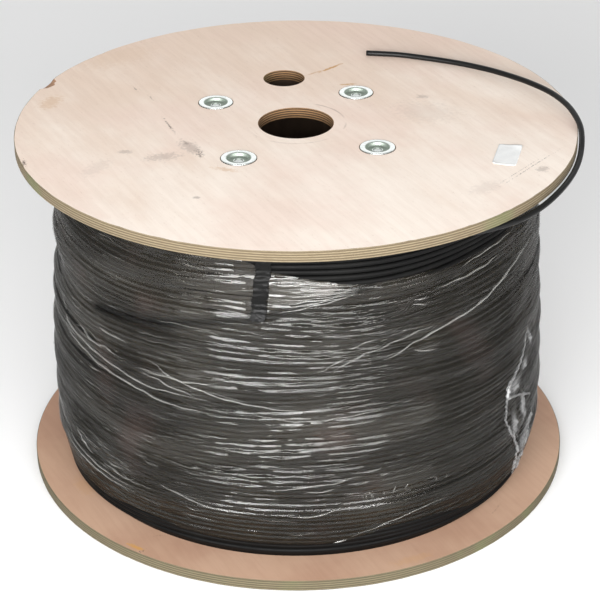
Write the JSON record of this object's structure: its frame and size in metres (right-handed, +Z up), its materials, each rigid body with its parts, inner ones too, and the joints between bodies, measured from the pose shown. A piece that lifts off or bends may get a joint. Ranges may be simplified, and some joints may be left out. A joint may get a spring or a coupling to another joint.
{
  "type": "fibre optic cable reel",
  "caption": "Plywood cable reel standing on end, wound full with black fibre optic cable under clear stretch film; the loose end lies over the top flange.",
  "frame": {"origin": "centre of the bottom flange's lower face, on the reel's axis at floor level", "axes": "+Z up along the reel's axis; -Y towards the viewer of the picture; +X to the right"},
  "size_m": [0.6045, 0.6, 0.4073],
  "materials": {
    "plywood": "raw rotary-cut face veneer, ply layers on the edge",
    "fibreboard": "matt brown board",
    "cable_jacket": "satin black polyethylene jacket",
    "clear_film": "clear stretch film, wrinkled",
    "black_tape": "creased black tape",
    "zinc_plate": "bright zinc-plated pressed steel",
    "label_paper": "matt white paper label, blank"
  },
  "bodies": {
    "root": {"flange_bottom": "plywood", "flange_top": "plywood", "barrel": "fibreboard", "cable_winding": "cable_jacket", "stretch_film": "clear_film", "tape_strip": "black_tape", "loose_cable_end": "cable_jacket", "tie_rod_1": "zinc_plate", "tie_rod_2": "zinc_plate", "tie_rod_3": "zinc_plate", "tie_rod_4": "zinc_plate", "cup_washer_top_1": "zinc_plate", "cup_washer_top_2": "zinc_plate", "cup_washer_top_3": "zinc_plate", "cup_washer_top_4": "zinc_plate", "cup_washer_bottom_1": "zinc_plate", "cup_washer_bottom_2": "zinc_plate", "cup_washer_bottom_3": "zinc_plate", "cup_washer_bottom_4": "zinc_plate", "label": "label_paper"}
  },
  "joints": []
}
